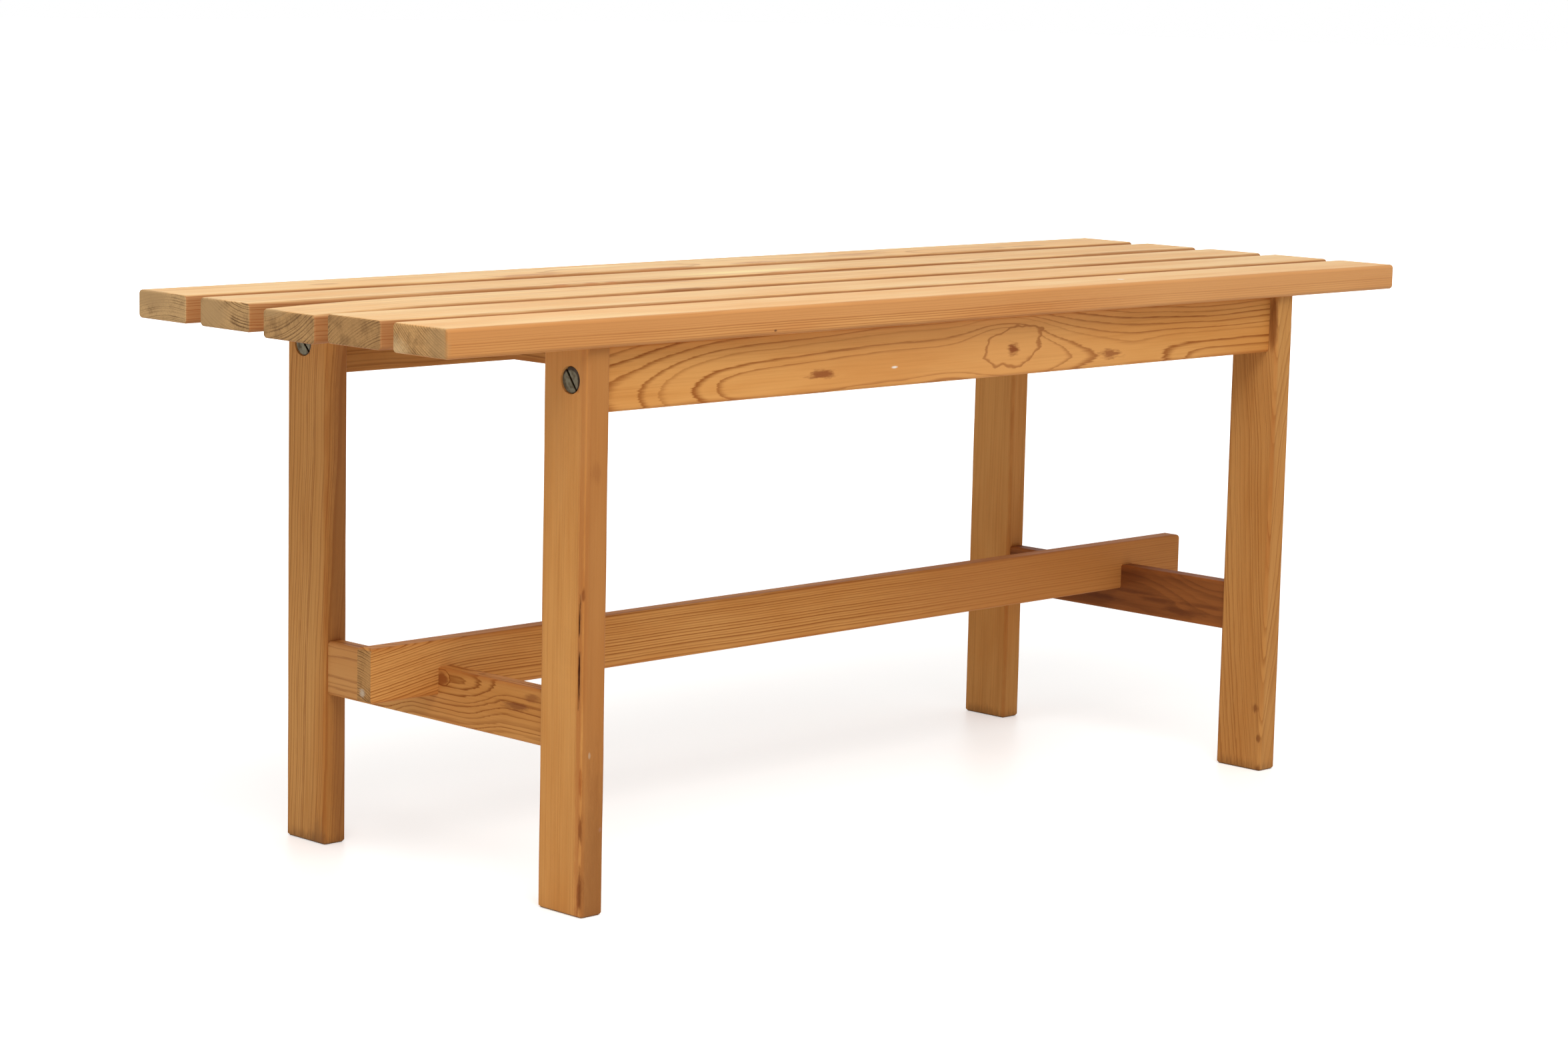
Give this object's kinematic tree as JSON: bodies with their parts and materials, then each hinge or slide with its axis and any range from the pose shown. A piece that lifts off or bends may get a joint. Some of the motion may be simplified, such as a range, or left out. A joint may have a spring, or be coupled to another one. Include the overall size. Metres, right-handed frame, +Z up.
{
  "type": "slatted bench",
  "caption": "Low slatted pine bench on flat legs, with bolted long aprons, low cross rails and a long low stretcher that stands proud of them.",
  "frame": {"origin": "on the floor under the middle of the bench", "axes": "+Z up, +X along the slats to the right end, -Y the front"},
  "size_m": [1.118, 0.37, 0.45],
  "materials": {
    "slat_pine": "oiled pine, aged to honey, pale on top and greyer on the end grain",
    "frame_pine": "oiled pine, aged to orange brown",
    "batten_pine": "planed pine, unoiled and dull",
    "dowel_beech": "plain fluted beech",
    "bolt_steel": "dulled steel with brown tarnish",
    "nut_steel": "plain steel, slightly tarnished",
    "screw_steel": "plain steel, slightly tarnished"
  },
  "bodies": {
    "root": {"apron_back": "frame_pine", "apron_front": "frame_pine", "apron_pins_back_left": "dowel_beech", "apron_pins_back_right": "dowel_beech", "apron_pins_front_left": "dowel_beech", "apron_pins_front_right": "dowel_beech", "barrel_nut_back_left": "nut_steel", "barrel_nut_back_right": "nut_steel", "barrel_nut_front_left": "nut_steel", "barrel_nut_front_right": "nut_steel", "batten_left": "batten_pine", "batten_middle": "batten_pine", "batten_right": "batten_pine", "batten_screws_left": "screw_steel", "batten_screws_middle": "screw_steel", "batten_screws_right": "screw_steel", "bolt_back_left": "bolt_steel", "bolt_back_right": "bolt_steel", "bolt_front_left": "bolt_steel", "bolt_front_right": "bolt_steel", "cross_rail_left": "frame_pine", "cross_rail_right": "frame_pine", "lap_screw_left": "screw_steel", "lap_screw_right": "screw_steel", "leg_back_left": "frame_pine", "leg_back_right": "frame_pine", "leg_front_left": "frame_pine", "leg_front_right": "frame_pine", "slat_back": "slat_pine", "slat_fourth": "slat_pine", "slat_front": "slat_pine", "slat_middle": "slat_pine", "slat_second": "slat_pine", "stretcher": "frame_pine", "top_pin_back_left": "dowel_beech", "top_pin_back_right": "dowel_beech", "top_pin_front_left": "dowel_beech", "top_pin_front_right": "dowel_beech"}
  },
  "joints": []
}
